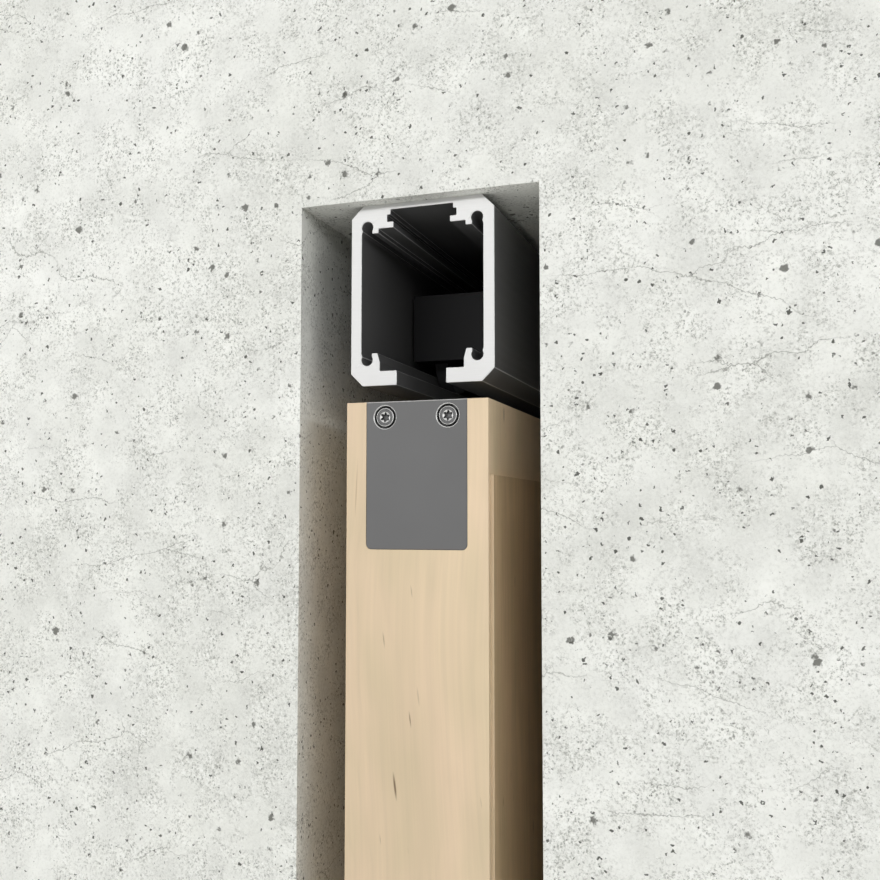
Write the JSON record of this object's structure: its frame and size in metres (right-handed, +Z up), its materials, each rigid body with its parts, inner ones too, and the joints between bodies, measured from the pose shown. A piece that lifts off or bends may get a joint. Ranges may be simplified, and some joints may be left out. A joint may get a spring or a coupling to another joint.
{
  "type": "pocket door frame",
  "caption": "Concrete pocket wall with lintel, doorway and strike jamb, and a wooden sliding door hung by trolleys from an aluminium top track.",
  "frame": {"origin": "on the floor under the middle of the frame", "axes": "+X across the wall, +Y along the track from the pocket to the strike jamb, +Z up"},
  "size_m": [0.3, 1.955, 2.3996],
  "materials": {
    "concrete": "cast, pitted",
    "track_aluminium": "black anodised, sawn ends bare",
    "guide_aluminium": "mill finish",
    "door_wood": "planed, matt lacquer",
    "face_veneer": "veneer, matt lacquer",
    "channel_aluminium": "mill finish",
    "cover_plate": "fine matt grey",
    "screw_steel": "zinc plated",
    "axle_steel": "ground",
    "wheel_plastic": "turned nylon",
    "trolley_plastic": "moulded"
  },
  "bodies": {
    "frame": {"pocket_wall_left": "concrete", "pocket_wall_right": "concrete", "lintel": "concrete", "lintel_apron_left": "concrete", "lintel_apron_right": "concrete", "strike_jamb": "concrete", "track": "track_aluminium", "floor_guide": "guide_aluminium"},
    "door": {"door_stile_rear": "door_wood", "door_stile_lead": "door_wood", "door_top_rail": "door_wood", "door_bottom_rail": "door_wood", "door_core": "door_wood", "door_skin_left": "face_veneer", "door_skin_right": "face_veneer", "hanger_channel_rear": "channel_aluminium", "hanger_plate_rear": "cover_plate", "plate_screws_rear": "screw_steel", "trolley_rear": "trolley_plastic", "trolley_wheels_rear": "wheel_plastic", "trolley_axles_rear": "axle_steel", "hanger_bolt_rear": "axle_steel", "lock_nut_rear": "axle_steel", "hanger_channel_lead": "channel_aluminium", "hanger_plate_lead": "cover_plate", "plate_screws_lead": "screw_steel", "trolley_lead": "trolley_plastic", "trolley_wheels_lead": "wheel_plastic", "trolley_axles_lead": "axle_steel", "hanger_bolt_lead": "axle_steel", "lock_nut_lead": "axle_steel"}
  },
  "joints": [
    {"name": "door_slide", "type": "slide", "parent": "frame", "child": "door", "axis": [0, 1, 0], "range_m": [0, 0.8695]}
  ]
}
